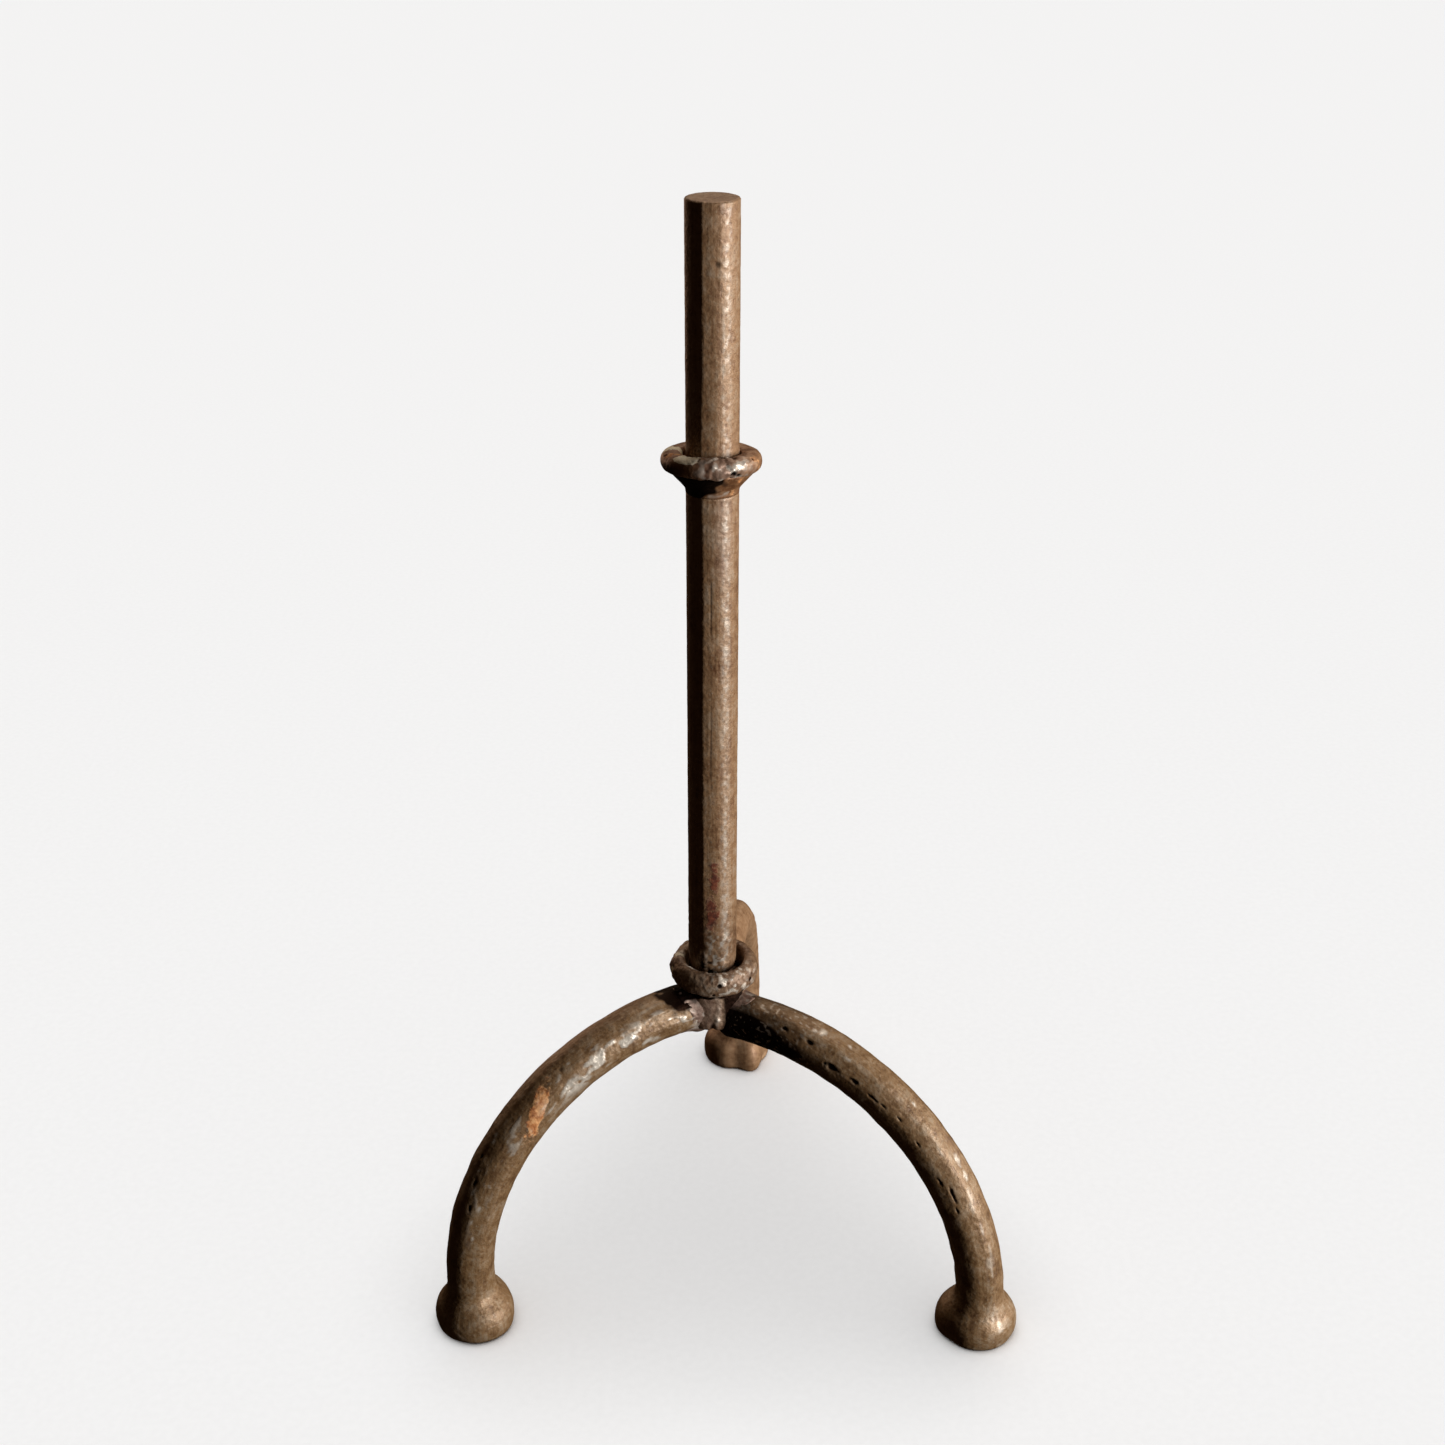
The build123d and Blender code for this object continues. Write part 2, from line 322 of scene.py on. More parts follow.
# ---- materials
def node_maker(name):
    material = bpy.data.materials.new(name)
    material.use_nodes = True
    tree = material.node_tree
    tree.nodes.clear()

    def add(kind, inputs=None, **settings):
        node = tree.nodes.new(kind)
        for key, value in settings.items():
            setattr(node, key, value)
        for key, value in (inputs or {}).items():
            socket = node.inputs[key]
            if isinstance(value, bpy.types.NodeSocket):
                tree.links.new(value, socket)
            else:
                socket.default_value = value
        return node
    return material, add


def ramp(add, fac, stops):
    node = add("ShaderNodeValToRGB", {"Fac": fac})
    elements = node.color_ramp.elements
    while len(elements) < len(stops):
        elements.new(0.5)
    for element, (place, value) in zip(elements, stops):
        element.position = place
        element.color = (*value, 1) if isinstance(value, tuple) else (value, value, value, 1)
    return node.outputs["Color"]


def blend(add, fac, a, b):
    node = add("ShaderNodeMix", data_type="RGBA")
    tree = node.id_data
    for socket, value in ((node.inputs[0], fac), (node.inputs[6], a), (node.inputs[7], b)):
        if isinstance(value, bpy.types.NodeSocket):
            tree.links.new(value, socket)
        else:
            socket.default_value = (*value, 1) if isinstance(value, tuple) else value
    return node.outputs[2]


def maths(operation):
    """A function that adds the node for one operation on two values."""
    return lambda add, a, b: add("ShaderNodeMath", {0: a, 1: b}, operation=operation).outputs[0]


plus, minus, times = maths("ADD"), maths("SUBTRACT"), maths("MULTIPLY")


def add_terms(add, total, *terms):
    """The total plus each term's value times its weight."""
    for value, weight in terms:
        total = plus(add, total, times(add, value, weight))
    return total


RUST_RED = [(0.35, (0.045, 0.009, 0.003)), (0.52, (0.15, 0.032, 0.012)), (0.68, (0.27, 0.09, 0.04))]
RUST_ORANGE = [(0.34, (0.20, 0.065, 0.020)), (0.47, (0.50, 0.20, 0.065)), (0.62, (0.78, 0.44, 0.20))]
CREAM_PAINT = [(0.3, (0.72, 0.60, 0.40)), (0.6, (0.97, 0.88, 0.68))]
PINK_IRON = [(0.34, (0.13, 0.074, 0.054)), (0.62, (0.36, 0.255, 0.205))]
BARE_IRON_AND_HIGHLIGHT = (0.68, 0.63, 0.56)
# near black, for pits and for painted shade
PIT_AND_SHADE_BLACK = (0.007, 0.002, 0.001)
RELIEF_DEPTH = 0.00032    # metres


def iron(name, tones, rough=0.46, streaks=0.5, rust_stops=RUST_ORANGE, relief=1.0):
    """Brown patina on worked iron, from the piece's own unbent coordinates."""
    deep, mid, worn = tones
    material, add = node_maker(name)
    coords = add("ShaderNodeAttribute", attribute_name="unbent").outputs["Vector"]
    along = add("ShaderNodeMapping", {"Vector": coords, "Scale": (1, 1, 0.04)}).outputs["Vector"]

    def cloud(size_mm, detail=4, vector=coords, distortion=0.0):
        return add("ShaderNodeTexNoise", {"Vector": vector, "Scale": 1000 / size_mm, "Detail": detail,
                                          "Roughness": 0.62, "Distortion": distortion}).outputs["Fac"]

    def field(key):
        return add("ShaderNodeAttribute", attribute_name=key).outputs["Fac"]

    blotch, mottle, speck = cloud(17, 5), cloud(3.4, 7, distortion=0.15), cloud(1.1, 5)
    streak = cloud(0.9, 5, along)
    flake = add("ShaderNodeTexVoronoi", {"Vector": coords, "Scale": 1000 / 1.5}).outputs["Distance"]

    tone = add_terms(add, times(add, mottle, 0.55), (blotch, 0.35), (minus(add, streak, 0.5), streaks))
    color = ramp(add, tone, [(0.26, deep), (0.45, mid), (0.68, worn)])
    color = blend(add, ramp(add, speck, [(0.56, 0.0), (0.70, 0.45)]), color, worn)
    color = blend(add, ramp(add, speck, [(0.32, 0.60), (0.43, 0.0)]), color, deep)

    uneven = times(add, minus(add, mottle, 0.5), 2.0)
    rust = field("rust")
    rust_mask = ramp(add, plus(add, rust, uneven), [(0.36, 0.0), (0.60, 1.0)])
    rust_mask = times(add, rust_mask, ramp(add, rust, [(0.02, 0.0), (0.25, 1.0)]))
    color = blend(add, rust_mask, color, ramp(add, cloud(2.0, 5), rust_stops))
    paint_field = field("paint")
    paint_mask = ramp(add, plus(add, paint_field, uneven), [(0.44, 0.0), (0.52, 1.0)])
    paint_mask = times(add, paint_mask, ramp(add, paint_field, [(0.02, 0.0), (0.2, 1.0)]))
    color = blend(add, paint_mask, color, ramp(add, speck, CREAM_PAINT))
    pink = field("pink")
    color = blend(add, times(add, pink, 0.8), color, ramp(add, mottle, PINK_IRON))
    # lighten towards bare iron and smooth: worn bare metal, and also painted highlights and glints
    bare_and_highlight = field("bare_and_highlight")
    color = blend(add, times(add, bare_and_highlight, 0.85), color, BARE_IRON_AND_HIGHLIGHT)
    # darken towards near black for pits and for painted shade; these places are also made to reflect almost
    # nothing
    dark = ramp(add, field("pit_and_shade"), [(0.12, 0.0), (0.6, 0.98)])
    color = blend(add, dark, color, PIT_AND_SHADE_BLACK)
    metal = plus(add, times(add, dark, 0.70), 0.28)
    metal = times(add, metal, minus(add, 1.0, paint_mask))

    rough_value = add_terms(add, plus(add, times(add, mottle, 0.30), rough - 0.15), (rust_mask, 0.35),
                            (field("pit_and_shade"), 0.12), (paint_mask, 0.2), (bare_and_highlight, -0.20))
    height = add_terms(add, times(add, mottle, 0.8), (speck, 0.55), (streak, 0.7 * streaks), (flake, 0.45),
                       (rust_mask, 0.4), (paint_mask, 0.6))
    normal = add("ShaderNodeBump", {"Height": height, "Strength": 0.75, "Distance": RELIEF_DEPTH * relief})
    shader = add("ShaderNodeBsdfPrincipled", {"Base Color": color, "Roughness": rough_value,
                                              "Metallic": metal, "Normal": normal.outputs["Normal"],
                                              "Specular IOR Level": 0.65})
    add("ShaderNodeOutputMaterial", {"Surface": shader.outputs["BSDF"]})
    return material


def steel(name):
    """Turned steel with fine rings round the pin and a film of old oil."""
    material, add = node_maker(name)
    coords = add("ShaderNodeTexCoord").outputs["Object"]
    rings = add("ShaderNodeMapping", {"Vector": coords, "Scale": (0.04, 0.04, 1)}).outputs["Vector"]
    line = add("ShaderNodeTexNoise", {"Vector": rings, "Scale": 5000, "Detail": 3}).outputs["Fac"]
    film = add("ShaderNodeTexNoise", {"Vector": coords, "Scale": 260, "Detail": 5}).outputs["Fac"]
    color = ramp(add, film, [(0.38, (0.16, 0.12, 0.09)), (0.62, (0.42, 0.39, 0.35))])
    rough_value = ramp(add, film, [(0.3, 0.42), (0.7, 0.24)])
    normal = add("ShaderNodeBump", {"Height": line, "Strength": 0.3, "Distance": 0.0001})
    shader = add("ShaderNodeBsdfPrincipled", {"Base Color": color, "Roughness": rough_value,
                                              "Metallic": 0.9, "Normal": normal.outputs["Normal"]})
    add("ShaderNodeOutputMaterial", {"Surface": shader.outputs["BSDF"]})
    return material


# tones of each iron: in its hollows, over most of it, and where it is worn
BAR_TONES = (0.110, 0.040, 0.012), (0.285, 0.162, 0.080), (0.385, 0.300, 0.220)
COLLAR_TONES = (0.060, 0.018, 0.006), (0.225, 0.100, 0.040), (0.44, 0.28, 0.16)
HUB_TONES = (0.050, 0.020, 0.008), (0.185, 0.105, 0.056), (0.40, 0.30, 0.21)
LEG_TONES = (0.074, 0.026, 0.005), (0.236, 0.138, 0.062), (0.40, 0.32, 0.235)
# the rear leg: the leg iron's tones made lighter, as painted light
BACK_PAINTED_LIGHT_TONES = (0.13, 0.056, 0.020), (0.33, 0.190, 0.100), (0.47, 0.32, 0.20)
WELD_TONES = (0.05, 0.026, 0.019), (0.20, 0.12, 0.09), (0.38, 0.28, 0.23)

BAR_IRON = iron("bar_iron", BAR_TONES, rough=0.54, streaks=0.32, rust_stops=RUST_RED)
COLLAR_IRON = iron("collar_iron", COLLAR_TONES, streaks=0.1)
HUB_IRON = iron("hub_iron", HUB_TONES, streaks=0.1, relief=1.7)
LEG_IRON = iron("leg_iron", LEG_TONES, rough=0.50, streaks=0.3)
BACK_PAINTED_LIGHT_IRON = iron("back_iron_painted_light", BACK_PAINTED_LIGHT_TONES, rough=0.55, streaks=0.25, relief=0.7)
WELD_METAL = iron("weld_metal", WELD_TONES, streaks=0.0)
INNER_STEEL = steel("inner_steel")


def blank_fields(unbent):
    """The values that the iron material reads, all at 0, and the unbent coordinates."""
    fields = {key: np.zeros(unbent.shape[:2]) for key in ("rust", "paint", "pit_and_shade", "bare_and_highlight", "pink")}
    fields["unbent"] = unbent
    return fields


# ---- bars of the column
COLUMN_CORNERS = np.array([-68, -22, 18, 44, 78, 110, 150, 190, 232, 262])
AXIS_GAP = 0.3 * MM       # a bar's profile starts this far from its axis
END_CHAMFER = 0.4 * MM
GLINT_GRAIN = (0.9 * MM, 0.9 * MM, 1.6 * MM)


def worked_bar(grid, angle, seed):
    """Height of a bar with long uneven flats that wander along it, one edge left of the front crisp."""
    heights = height_only(grid)
    drift = (np.radians(3.0) * noise(heights, 38 * MM, seed)
             + np.radians(2.4) * fractal(heights, 9 * MM, 2, seed + 1))
    crisp = flats(angle + drift, COLUMN_CORNERS, 0.05)
    soft = flats(angle + drift, COLUMN_CORNERS, 0.17)
    edge = near_angle(angle, -22, 24)
    height = -BAR_R * (0.62 * crisp * edge + 0.36 * soft * (1 - edge))
    scores = noise(grid, (0.9 * MM, 0.9 * MM, 24 * MM), seed + 3)
    return height + skin(grid, seed, hammer=0.02, scale=0.05, grain=0.035) + 0.03 * MM * scores


def make_upper_bar():
    lo, hi = UPPER_LO + 0.05 * MM, UPPER_HI - 0.1 * MM
    profile = [(AXIS_GAP, lo), (BAR_R - END_CHAMFER, lo), (BAR_R, lo + END_CHAMFER),
               (BAR_R, hi - END_CHAMFER), (BAR_R - END_CHAMFER, hi), (AXIS_GAP, hi)]
    grid, angle = turned(profile)
    radius = from_axis(grid)
    side = smooth(radius, BAR_R - 2 * END_CHAMFER, BAR_R - 0.5 * END_CHAMFER)
    worked = worked_bar(grid, angle, 41)
    height = worked * side
    saw_marks = 0.03 * MM * noise(grid, (0.7 * MM, 30 * MM, 30 * MM), 43)
    height += saw_marks * (1 - side)
    # rings shrink to the flats, so that the end face follows the bar's section
    sag = (worked * (1 - side) * radius / BAR_R)[..., None]
    grid = grid + sag * np.stack([np.sin(angle), -np.cos(angle), 0 * angle], -1)
    fields = blank_fields(grid)
    # a painted highlight band right of the front, where the key light's reflection falls, with painted
    # glints in it
    band = near_angle(angle, 31, 18)
    glints = smooth(fractal(grid, GLINT_GRAIN, 2, 44), -0.15, 0.40)
    fields["bare_and_highlight"] = band * (0.05 + 0.45 * glints) * side
    chip = pits(grid, 5 * MM, 0.05, 47) * side
    height -= 0.2 * MM * chip
    fields["pit_and_shade"] = chip * 0.5
    return finish_piece("upper_bar", grid, False, height, fields, "upper_bar", "bar_iron", "upper_rod")


def make_lower_bar():
    bore, floor = STEM_R + 0.1 * MM, LOWER_HI - STEM_LENGTH
    shoulder = LOWER_LO + TENON_LENGTH
    nose = rounded([(TENON_R, shoulder), (TENON_R + 1.6 * MM, shoulder + 0.2 * MM),
                    (BAR_R - 0.4 * MM, shoulder + 1.9 * MM), (BAR_R, shoulder + 5 * MM)])
    profile = [(AXIS_GAP, LOWER_LO), (TENON_R, LOWER_LO), *nose.tolist(), (BAR_R, LOWER_HI),
               (bore, LOWER_HI), (bore, floor), (AXIS_GAP, floor)]
    grid, angle = turned(profile)
    radius = from_axis(grid)
    z = grid[..., 2]
    outside = smooth(radius, bore + 0.6 * MM, bore + 1.2 * MM)
    nose_part = (z < shoulder + 6 * MM) * smooth(radius, TENON_R, TENON_R + 0.8 * MM)
    outside = np.maximum(outside, nose_part)
    height = worked_bar(grid, angle, 53) * outside
    battered = smooth(shoulder + 32 * MM - z, 0, 24 * MM) * outside
    height += 0.34 * MM * battered * fractal(grid, 2.4 * MM, 3, 59)
    # a thin broken groove up the front
    heights = height_only(grid)
    groove = near_angle(angle + np.radians(2) * noise(heights, 20 * MM, 60), -3, 4)
    groove = groove * smooth(noise(heights, 14 * MM, 61), -0.3, 0.2)
    groove = groove * smooth(z, shoulder + 60 * MM, shoulder + 85 * MM) * outside
    height -= 0.14 * MM * groove
    fields = blank_fields(grid)
    low = 1 - smooth(z, shoulder + 8 * MM, shoulder + 46 * MM)
    # dents left of the front at the lower end, darkened with painted shade
    ragged = z + 2 * MM * noise(grid, 3 * MM, 66)
    dents_and_shade = (1 - smooth(ragged, shoulder + 5 * MM, shoulder + 13 * MM)) * near_angle(angle, -14, 30)
    dents_and_shade = dents_and_shade * smooth(fractal(grid, 1.8 * MM, 2, 67), -0.25, 0.15) * outside
    fields["pit_and_shade"] = np.maximum(0.45 * groove + 0.25 * low * outside, dents_and_shade)
    height -= 0.35 * MM * dents_and_shade
    # a red stain low on the front, and a paler band under the collar
    stain = bump(z, shoulder + 25 * MM, 13 * MM) * near_angle(angle, 0, 30)
    stain = np.maximum(stain, 0.8 * bump(z, shoulder + 37 * MM, 13 * MM) * near_angle(angle, 4, 24))
    fields["rust"] = 0.78 * stain
    fields["pink"] = 0.45 * near_angle(angle, 22, 34) * smooth(z, LOWER_HI - 34 * MM, LOWER_HI - 22 * MM)
    # the same painted highlight band with painted glints, and on the battered end bare scuffs together with
    # painted glints
    band = near_angle(angle, 31, 17)
    glints = smooth(fractal(grid, GLINT_GRAIN, 2, 71), -0.15, 0.45)
    scuffs_and_glints = smooth(battered, 0.35, 0.95) * smooth(fractal(grid, 1.3 * MM, 2, 73), 0.05, 0.34)
    scuffs_and_glints = scuffs_and_glints * near_angle(angle, 14, 52)
    fields["bare_and_highlight"] = np.clip(band * (0.12 + 0.5 * glints) * outside + scuffs_and_glints, 0, 1)
    return finish_piece("lower_bar", grid, False, height, fields, "column", "bar_iron", "lower_rod")


# ---- collar
def make_collar_cup():
    foot, floor = LOWER_HI, UPPER_LO
    bore = SPIGOT_R + 0.3 * MM
    flare = rounded([(BAR_R, foot), (BAR_R + 0.1 * MM, foot + 1.2 * MM), (BAR_R + 1.1 * MM, foot + 2.7 * MM),
                     (BAR_R + 4.4 * MM, foot + 6.3 * MM), (BAR_R + 5.4 * MM, foot + 7.6 * MM),
                     (BAR_R + 4.6 * MM, foot + 8.8 * MM), (BAR_R + 3.0 * MM, CUP_HI)])
    profile = [*flare.tolist(), (CUP_HOLE_R, CUP_HI), (CUP_HOLE_R, floor), (bore, floor),
               (bore, CUP_LO), (STEM_R, CUP_LO), (STEM_R, foot)]
    grid, angle = turned(profile, 0.45 * MM, 160, closed=True)
    radius = from_axis(grid)
    z = grid[..., 2]
    outside = smooth(radius, STEM_R + 1.0 * MM, BAR_R - 0.1 * MM) * (z > foot - 0.2 * MM)
    outside = outside * smooth(np.maximum(radius - CUP_HOLE_R, foot + 4 * MM - z), 0, 0.8 * MM)
    height = skin(grid, 83, hammer=0.12, scale=0.05) * outside
    # the raised slanting line of the joint at the cup's foot
    lap = bump(z, foot + 1.6 * MM + 1.5 * MM * np.sin(angle - 0.5), 1.0 * MM)
    height += 0.22 * MM * lap * outside * smooth(noise(grid, 5 * MM, 86), -0.4, 0.4)
    fields = blank_fields(grid)
    fields["bare_and_highlight"] = 0.6 * lap * smooth(noise(grid, 1.7 * MM, 85), 0.15, 0.6)
    fields["rust"] = 0.35 * near_angle(angle, 40, 30) * outside
    # painted shadow under the ring, from the left round to just past the front
    degrees = signed_degrees(angle) + 12 * noise(grid, 3.0 * MM, 87)
    slope = np.radians(degrees + 34) * 3.2 * MM
    above = smooth(z, foot + slope - 1.4 * MM, foot + slope + 0.8 * MM)
    painted_shade = smooth(degrees, -120, -85) * (1 - smooth(degrees, 2, 20)) * above
    fields["pit_and_shade"] = 0.95 * painted_shade * outside
    return finish_piece("collar_cup", grid, True, height, fields, "column", "collar_iron", "collar_socket")


# radius and height above the ring's top, in mm
RIM_SECTION = [(8.7, -2.9), (8.75, -1.2), (9.3, -0.2), (10.8, 0.1), (12.7, 0.0), (14.1, -0.5), (14.9, -1.6),
               (15.15, -3.1), (14.9, -4.4), (14.2, -5.3), (13.0, -5.7), (11.5, -5.3), (10.0, -4.3)]
# pits of the ring: degrees from the front, radius, height above the ring's top and size, in mm
RIM_PITS = ((35, 10.9, -0.1, 2.2), (18, 10.2, -0.2, 1.5), (11, 10.0, -0.3, 1.2), (26, 14.9, -4.1, 1.7),
            (33, 14.5, -4.9, 1.2), (58, 14.2, -0.7, 0.9), (-75, 13.9, -0.7, 0.9))
RIM_SHIFT = 0.35 * MM     # to the left
RIM_DROP = 0.5 * MM
RIM_TILT = 0.07           # rise of the front edge for its distance from the axis


def make_collar_rim():
    hi, mid = RIM_HI, (RIM_LO + RIM_HI) / 2
    profile = rounded(np.array(RIM_SECTION) * MM + (0, hi), 3, closed=True)
    grid, angle = turned(profile, 0.38 * MM, 260, closed=True)
    radius = from_axis(grid)
    z = grid[..., 2]
    outside = smooth(radius, 9.0 * MM, 9.9 * MM)
    height = 0.32 * MM * fractal(grid, 8 * MM, 2, 91) + skin(grid, 93, hammer=0.26, scale=0.08, grain=0.03)
    height = (height - 0.12 * MM) * outside
    top = smooth(z, mid, hi - 1.0 * MM)
    outer = smooth(radius, 12.6 * MM, 13.8 * MM)
    # the front right is battered and pitted, the rest smooth, with old cream paint on the left
    battered = near_angle(angle, 18, 52)
    height += 0.72 * MM * battered * fractal(grid, 2.4 * MM, 3, 97) * outside
    dents, _ = cells(grid, 2.4 * MM, 98)
    height += 0.35 * MM * battered * (smooth(dents, 0.1, 0.7) - 0.5) * outside
    fields = blank_fields(grid)
    degrees = signed_degrees(angle)
    pit_and_shade = np.zeros(grid.shape[:2])
    for place, at_radius, at_height, size in RIM_PITS:
        away = np.sqrt(arc_length(degrees - place, RIM_R) ** 2 + (radius - at_radius * MM) ** 2
                       + (z - hi - at_height * MM) ** 2)
        pit_and_shade = np.maximum(pit_and_shade, bump(away, 0, size * MM))
    height -= 1.0 * MM * pit_and_shade
    fields["pit_and_shade"] = pit_and_shade
    patch = near_angle(angle, -36, 24) * top * (1 - smooth(radius, 13.6 * MM, 14.9 * MM))
    fields["paint"] = np.clip(2.6 * patch, 0, 1)
    # a second cream patch on the top to the left: old paint, and also painted light from above
    fields["paint"] = np.maximum(fields["paint"], 0.62 * near_angle(angle, -100, 30) * top)
    fields["rust"] = 0.4 * near_angle(angle, -70, 30) * top + 0.3 * near_angle(angle, 65, 30) * outer
    # bright flecks on the battered front right, partly bare metal and partly painted highlight, and a
    # painted highlight along the upper outer edge
    edge_line = np.exp(-((radius - 14.3 * MM) / (0.7 * MM)) ** 2) * smooth(z, mid, mid + 1.5 * MM)
    flecks = smooth(fractal(grid, 1.8 * MM, 2, 99), -0.10, 0.28)
    edge_highlight = 0.4 * edge_line * near_angle(angle, 30, 45) * flecks
    fields["bare_and_highlight"] = np.clip(0.9 * battered * flecks + edge_highlight, 0, 0.8)
    fields["pink"] = 0.9 * near_angle(angle, 16, 52) * outside
    # painted shade on the face to the left of the front
    painted_shade = near_angle(angle, -62, 46) * outer * (1 - smooth(z, mid + 0.5 * MM, mid + 2.0 * MM))
    fields["pit_and_shade"] = np.maximum(fields["pit_and_shade"], 0.5 * painted_shade)
    # the ring sits a little to the left, with its front edge raised
    x, y = grid[..., 0], grid[..., 1]
    grid = np.stack([x - RIM_SHIFT, y, z - RIM_DROP - RIM_TILT * y], -1)
    return finish_piece("collar_rim", grid, True, height, fields, "column", "collar_iron", "collar_ring")


# ---- hub
def make_hub_neck():
    recess_top = HUB_LO + RECESS_DEPTH
    bore = STUD_R + 0.25 * MM
    outer = rounded([(HUB_R - 1.4 * MM, HUB_HI + 0.3 * MM), (HUB_R - 1.7 * MM, HUB_HI - 1.0 * MM),
                     (HUB_R - 1.3 * MM, HUB_HI - 3.0 * MM), (HUB_R - 0.8 * MM, HUB_LO + 6 * MM),
                     (HUB_R - 0.2 * MM, HUB_LO + 3 * MM), (HUB_R - 1.2 * MM, HUB_LO + 0.6 * MM),
                     (RECESS_R + 1.2 * MM, HUB_LO)])
    profile = [*outer.tolist(), (RECESS_R, HUB_LO), (RECESS_R, recess_top), (bore, recess_top),
               (bore, HUB_HI)]
    grid, angle = turned(profile[::-1], 0.42 * MM, 200, closed=True)
    radius = from_axis(grid)
    z = grid[..., 2]
    outside = smooth(radius, RECESS_R + 0.8 * MM, RECESS_R + 2.4 * MM)
    # a lumpy ridge of weld metal right of the front, and a thinner strand beside it, bright with bare weld
    # metal and a painted highlight
    heights = height_only(grid)
    sway = np.radians(9) * noise(heights, 5 * MM, 7)
    lumps = noise(heights, 2.6 * MM, 12) + 0.5 * noise(grid, 1.3 * MM, 13)
    lumpy = 0.15 + 0.85 * smooth(lumps, -0.45, 0.35)
    ridge = near_angle(angle - sway, 11, 6) * lumpy * smooth(z, HUB_LO + 3.5 * MM, HUB_LO + 5.5 * MM)
    strand = near_angle(angle + 0.6 * sway, 6, 5) * lumpy * smooth(HUB_LO + 9 * MM - z, 0, 2 * MM)
    strand = strand * smooth(z, HUB_LO + 2 * MM, HUB_LO + 4 * MM)
    height = skin(grid, 101, hammer=0.10, scale=0.02) + 0.35 * MM * fractal(grid, 6 * MM, 2, 103)
    height = (height + 0.75 * MM * ridge + 0.35 * MM * strand) * outside
    fields = blank_fields(grid)
    fields["bare_and_highlight"] = np.clip(0.8 * ridge + 0.5 * strand, 0, 1) * outside
    fields["pink"] = 0.75 * near_angle(angle, -8, 34) * outside
    # painted shade: in a dent low at the front, in the crease under the band, and in the corners where the
    # front legs meet the neck
    hollow = near_angle(angle, 0, 8) * smooth(HUB_LO + 5 * MM - z, 0, 2.5 * MM) * outside
    ragged = 1.6 * MM * noise(grid, 2.2 * MM, 105)
    neck_painted_shade = smooth(z + ragged, HUB_HI - 3.0 * MM, HUB_HI - 1.4 * MM)
    left_corner = near_angle(angle, -60, 38) * smooth(z + ragged, HUB_HI - 8 * MM, HUB_HI - 4 * MM)
    right_corner = np.clip(2.0 * near_angle(angle, 42, 32), 0, 1)
    neck_painted_shade = np.maximum(neck_painted_shade, np.maximum(left_corner, right_corner)) * outside
    fields["pit_and_shade"] = np.clip(0.5 * hollow + 0.9 * neck_painted_shade * (1 - 0.8 * ridge), 0, 1)
    height -= 0.6 * MM * hollow
    return finish_piece("hub_neck", grid, True, height, fields, "base", "hub_iron", "hub_body")


def make_hub_band():
    h = BAND_HI - BAND_LO
    r = BAND_R
    section = [(BAND_HOLE_R, BAND_LO), (BAND_HOLE_R, BAND_LO + 0.72 * h),
               (BAND_HOLE_R + 0.5 * MM, BAND_HI - 0.3 * MM), (BAND_HOLE_R + 2.0 * MM, BAND_HI + 0.2 * MM),
               (r - 0.9 * MM, BAND_HI - 0.4 * MM), (r + 0.4 * MM, BAND_LO + 0.72 * h),
               (r + 0.5 * MM, BAND_LO + 0.32 * h), (r - 0.2 * MM, BAND_LO + 0.04 * h),
               (r - 2.4 * MM, BAND_LO - 0.2 * MM)]
    grid, angle = turned(rounded(section, 3, closed=True), 0.40 * MM, 260, closed=True)
    radius = from_axis(grid)
    z = grid[..., 2]
    outer = smooth(radius, BAND_HOLE_R + 1.2 * MM, BAND_HOLE_R + 2.4 * MM)
    outer = np.maximum(outer, smooth(z, BAND_HI - 2 * MM, BAND_HI - 0.8 * MM))
    height = 0.28 * MM * fractal(grid, 7 * MM, 2, 111) + skin(grid, 113, hammer=0.24, scale=0.10, grain=0.04)
    roughness = 0.26 * fractal(grid, 2.2 * MM, 3, 117) + 0.14 * fractal(grid, 1.1 * MM, 2, 118)
    height += MM * outer * roughness
    fields = blank_fields(grid)
    fields["pit_and_shade"] = 0.9 * pits(grid, 3.4 * MM, 0.10, 119) * outer
    degrees = signed_degrees(angle)
    from_hole = np.hypot(arc_length(degrees - 42, r), z - BAND_LO - 0.6 * MM)
    hole = bump(from_hole, 0, 1.2 * MM) * outer
    fields["pit_and_shade"] = np.maximum(fields["pit_and_shade"], hole)
    height -= 0.45 * MM * fields["pit_and_shade"]
    # painted glints on the front right of the band
    glints = smooth(fractal(grid, 1.3 * MM, 2, 121), 0.02, 0.38)
    # on the left: a painted highlight on the inner lip, a pale mark on the top edge and a cream paint spot
    # on the face
    top = smooth(z, BAND_HI - 1.6 * MM, BAND_HI - 0.5 * MM)
    lip = near_angle(angle, -46, 20) * top * (radius < BAND_HOLE_R + 1.6 * MM)
    patch = near_angle(angle, -95, 16) * top
    fields["bare_and_highlight"] = np.clip(outer * near_angle(angle, 28, 60) * glints + lip + 0.6 * patch, 0, 1)
    fields["pink"] = 0.15 * outer * near_angle(angle, 10, 70)
    from_spot = np.hypot(arc_length(degrees + 76, r), (z - BAND_LO - 4.4 * MM) / 1.5)
    spot = bump(from_spot, 0, 1.9 * MM) * outer
    fields["paint"] = np.clip(1.3 * spot + 0.7 * lip + 0.7 * patch, 0, 1)
    grid = grid + (BAND_X, 0, 0)
    return finish_piece("hub_band", grid, True, height, fields, "base", "hub_iron", "hub_ring")


SCAR_HALF = np.array([2.5, 4.4, 4.0])        # half its size along X, Y and Z, in mm
SCAR_PAINT = np.array([-0.86, -0.48, 0.0])   # the way its painted spot faces


